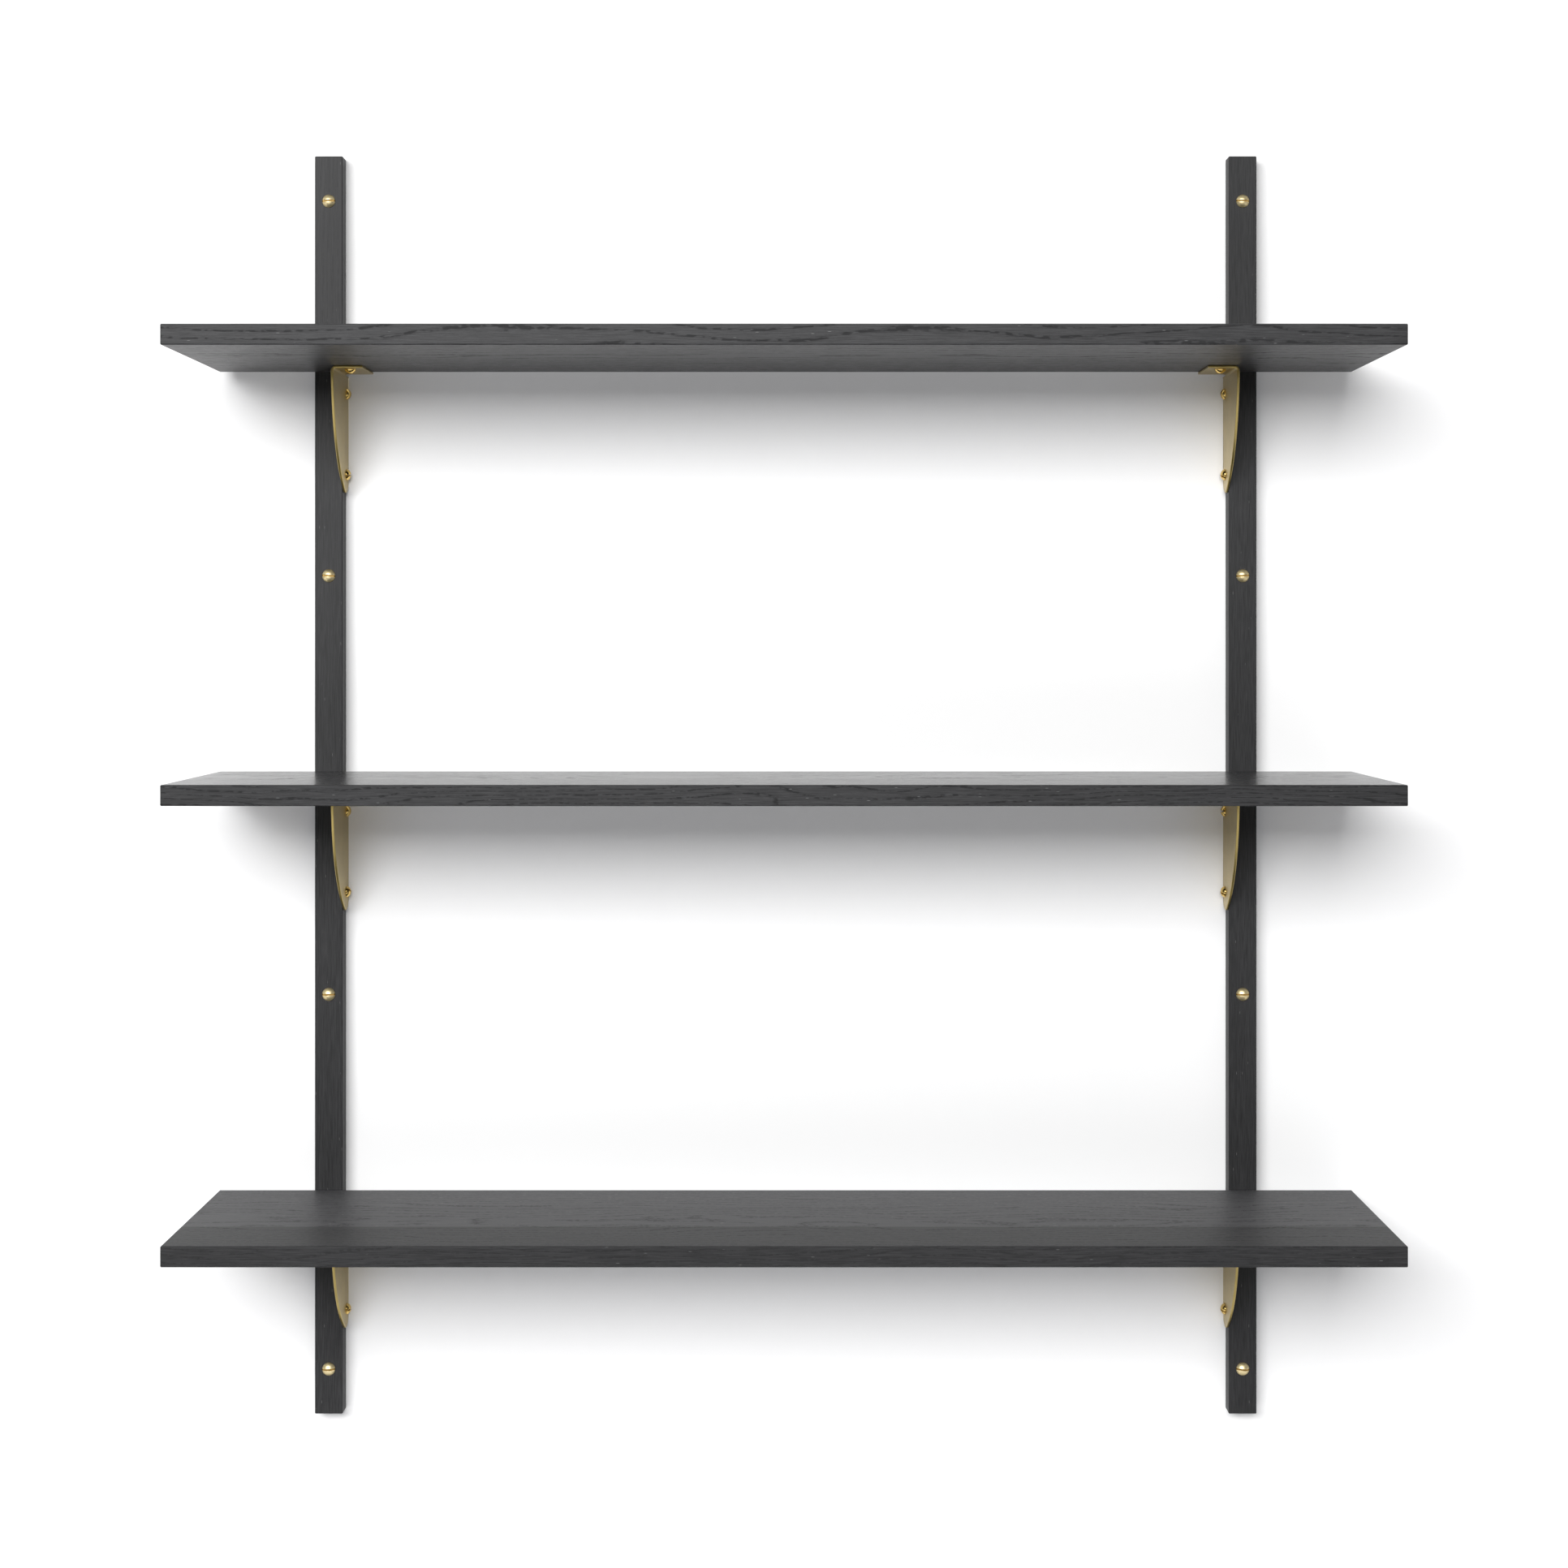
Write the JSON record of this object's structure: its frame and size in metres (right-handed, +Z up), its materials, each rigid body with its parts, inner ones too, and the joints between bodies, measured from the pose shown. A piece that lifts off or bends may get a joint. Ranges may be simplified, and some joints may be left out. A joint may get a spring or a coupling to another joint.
{
  "type": "wall shelf",
  "caption": "Wall shelf: slim wooden uprights screwed to the wall carry wide boards on folded brass brackets with slotted round-head screws.",
  "frame": {"origin": "on the wall plane, at the middle of the rectangle of the four outermost wall screws", "axes": "+Z up, +Y into the wall, so the front faces -Y, and +X to the right of someone facing the shelf"},
  "size_m": [1.12, 0.3, 1.244],
  "materials": {
    "stained_oak": "black stain on open-pored oak, satin",
    "brass_sheet": "satin, brushed, brighter on the eased edges",
    "brass_screws": "polished"
  },
  "bodies": {
    "root": {"upright_left": "stained_oak", "upright_right": "stained_oak", "shelf_top": "stained_oak", "shelf_middle": "stained_oak", "shelf_bottom": "stained_oak", "bracket_top_left": "brass_sheet", "bracket_top_right": "brass_sheet", "bracket_middle_left": "brass_sheet", "bracket_middle_right": "brass_sheet", "bracket_bottom_left": "brass_sheet", "bracket_bottom_right": "brass_sheet", "wall_screw_left_1": "brass_screws", "wall_screw_left_2": "brass_screws", "wall_screw_left_3": "brass_screws", "wall_screw_left_4": "brass_screws", "wall_screw_right_1": "brass_screws", "wall_screw_right_2": "brass_screws", "wall_screw_right_3": "brass_screws", "wall_screw_right_4": "brass_screws", "web_screw_top_left_upper": "brass_screws", "web_screw_top_left_lower": "brass_screws", "flange_screw_top_left": "brass_screws", "web_screw_top_right_upper": "brass_screws", "web_screw_top_right_lower": "brass_screws", "flange_screw_top_right": "brass_screws", "web_screw_middle_left_upper": "brass_screws", "web_screw_middle_left_lower": "brass_screws", "flange_screw_middle_left": "brass_screws", "web_screw_middle_right_upper": "brass_screws", "web_screw_middle_right_lower": "brass_screws", "flange_screw_middle_right": "brass_screws", "web_screw_bottom_left_upper": "brass_screws", "web_screw_bottom_left_lower": "brass_screws", "flange_screw_bottom_left": "brass_screws", "web_screw_bottom_right_upper": "brass_screws", "web_screw_bottom_right_lower": "brass_screws", "flange_screw_bottom_right": "brass_screws"}
  },
  "joints": []
}
